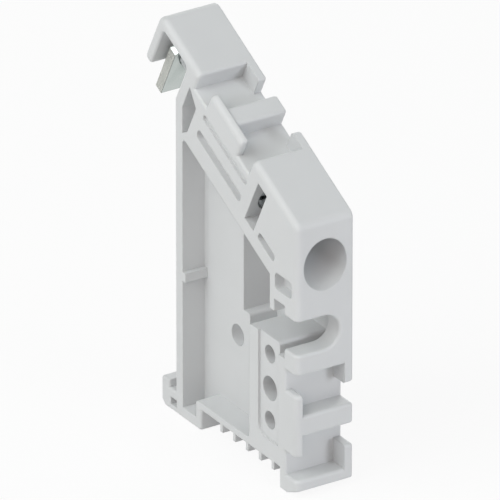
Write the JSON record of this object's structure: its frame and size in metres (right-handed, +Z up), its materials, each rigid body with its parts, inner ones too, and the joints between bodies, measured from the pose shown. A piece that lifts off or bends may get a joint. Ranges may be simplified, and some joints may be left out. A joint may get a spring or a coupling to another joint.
{
  "type": "DIN rail end stop",
  "caption": "Slim end stop for a 35 mm DIN rail: a ribbed grey moulding with a hooked head, a foot, marker grooves and a screw-driven clamp plate.",
  "frame": {"origin": "underside of the foot, in the plane of the rail's front face, at mid-thickness", "axes": "+X out of the rail towards the front face, +Y across the thin side along the rail, +Z up across the rail's width from the foot to the hooked head"},
  "size_m": [0.0335, 0.0078, 0.0507],
  "materials": {
    "housing": "light grey injection-moulded polyamide, satin",
    "clamp_plate": "stamped steel, zinc plated",
    "clamp_screw": "steel, zinc plated"
  },
  "bodies": {
    "housing": {"housing": "housing"},
    "plate": {"clamp_plate": "clamp_plate"},
    "screw": {"clamp_screw": "clamp_screw"}
  },
  "joints": [
    {"name": "screw_turn", "type": "hinge", "parent": "housing", "child": "screw", "pos_m": [0.01528, 0, 0.03577], "axis": [-0.8886, 0, 0.4586], "range_deg": [0, 3600]},
    {"name": "plate_slide", "type": "slide", "parent": "housing", "child": "plate", "axis": [0.8886, 0, -0.4586], "range_m": [0, 0.005]}
  ],
  "couplings": [
    {"joint": "screw_turn", "follows": "plate_slide", "rad_per_m": 12566}
  ]
}
